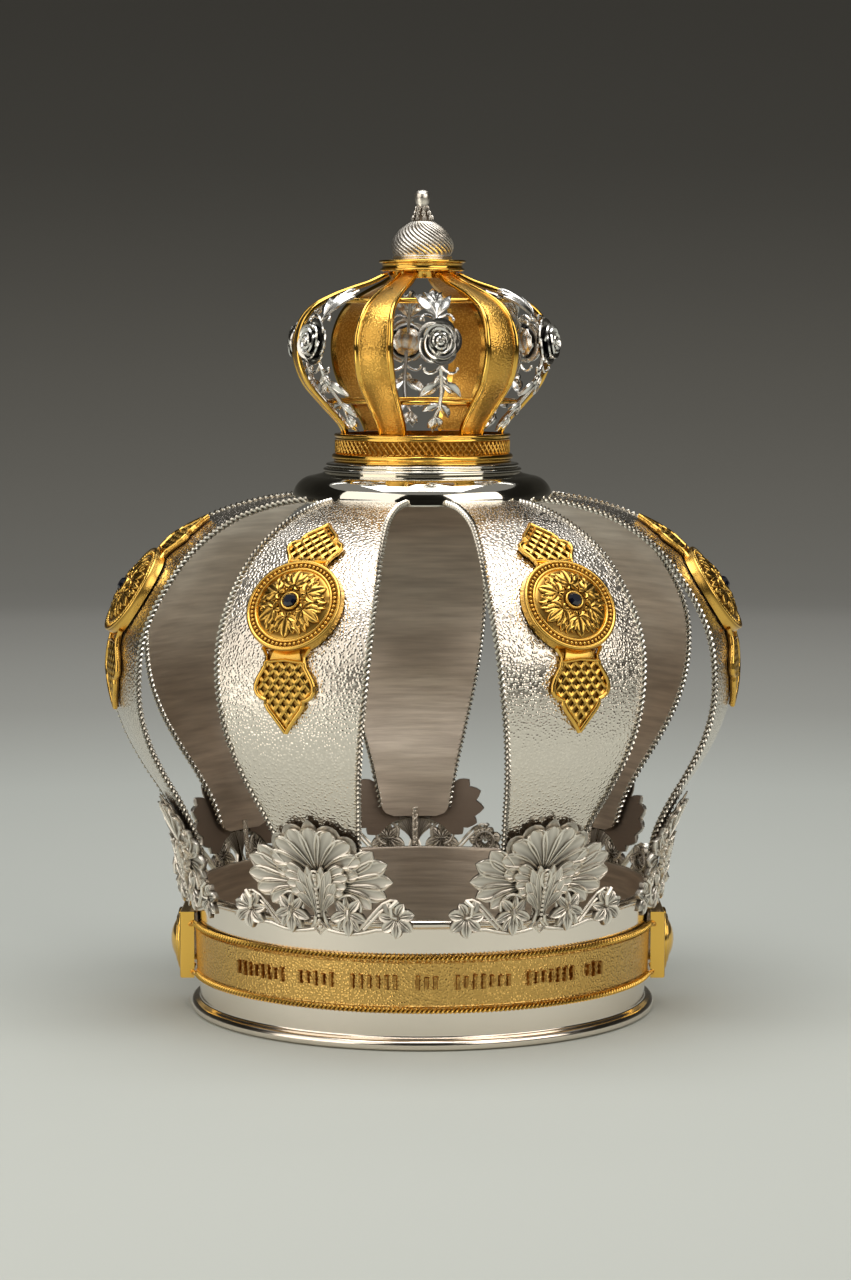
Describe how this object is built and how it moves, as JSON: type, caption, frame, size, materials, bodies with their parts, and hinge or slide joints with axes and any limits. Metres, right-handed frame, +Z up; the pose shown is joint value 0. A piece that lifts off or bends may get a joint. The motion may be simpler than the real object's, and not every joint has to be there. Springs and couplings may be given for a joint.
{
  "type": "torah crown",
  "caption": "Open silver and gold crown for a Torah scroll: a round drum, bowed hammered staves with gold medallions, a collar and a smaller crown with a finial.",
  "frame": {"origin": "on the crown's axis, at the underside of its foot", "axes": "+Z up along the crown's axis, -Y to the front with the inscription band, +X to the viewer's right"},
  "size_m": [0.3024, 0.3019, 0.392],
  "materials": {
    "polished_silver": "mirror-polished sterling silver",
    "hammered_silver": "finely hammered sterling silver sheet with a beaded wire edge",
    "cast_silver": "cast sterling silver, satin with darkened hollows",
    "oxidised_silver": "cast sterling silver with blackened recesses",
    "stippled_gold": "gilded silver with a stippled ground and rope borders",
    "polished_gold": "polished gilded silver",
    "satin_gold": "gilded silver with a fine hammered face and polished rims",
    "chased_gold": "chased gilded silver with darkened recesses",
    "dark_stone": "dark faceted stone"
  },
  "bodies": {
    "root": {"base_drum": "polished_silver", "collar": "polished_silver", "finial": "polished_silver", "inscription_band_back": "stippled_gold", "inscription_band_front": "stippled_gold", "medallion_1": "chased_gold", "medallion_2": "chased_gold", "medallion_3": "chased_gold", "medallion_4": "chased_gold", "medallion_5": "chased_gold", "medallion_6": "chased_gold", "medallion_7": "chased_gold", "palmette_1": "cast_silver", "palmette_2": "cast_silver", "palmette_3": "cast_silver", "palmette_4": "cast_silver", "palmette_5": "cast_silver", "palmette_6": "cast_silver", "palmette_7": "cast_silver", "rose_garland_1": "oxidised_silver", "rose_garland_2": "oxidised_silver", "rose_garland_3": "oxidised_silver", "rose_garland_4": "oxidised_silver", "rose_garland_5": "oxidised_silver", "rose_garland_6": "oxidised_silver", "side_plaque_left": "polished_gold", "side_plaque_right": "polished_gold", "small_band": "polished_gold", "small_hoop_lower": "polished_gold", "small_hoop_upper": "polished_gold", "small_rib_1": "satin_gold", "small_rib_2": "satin_gold", "small_rib_3": "satin_gold", "small_rib_4": "satin_gold", "small_rib_5": "satin_gold", "small_rib_6": "satin_gold", "stave_1": "hammered_silver", "stave_2": "hammered_silver", "stave_3": "hammered_silver", "stave_4": "hammered_silver", "stave_5": "hammered_silver", "stave_6": "hammered_silver", "stave_7": "hammered_silver", "stone_1": "dark_stone", "stone_2": "dark_stone", "stone_3": "dark_stone", "stone_4": "dark_stone", "stone_5": "dark_stone", "stone_6": "dark_stone", "stone_7": "dark_stone", "top_plate": "polished_gold"}
  },
  "joints": []
}
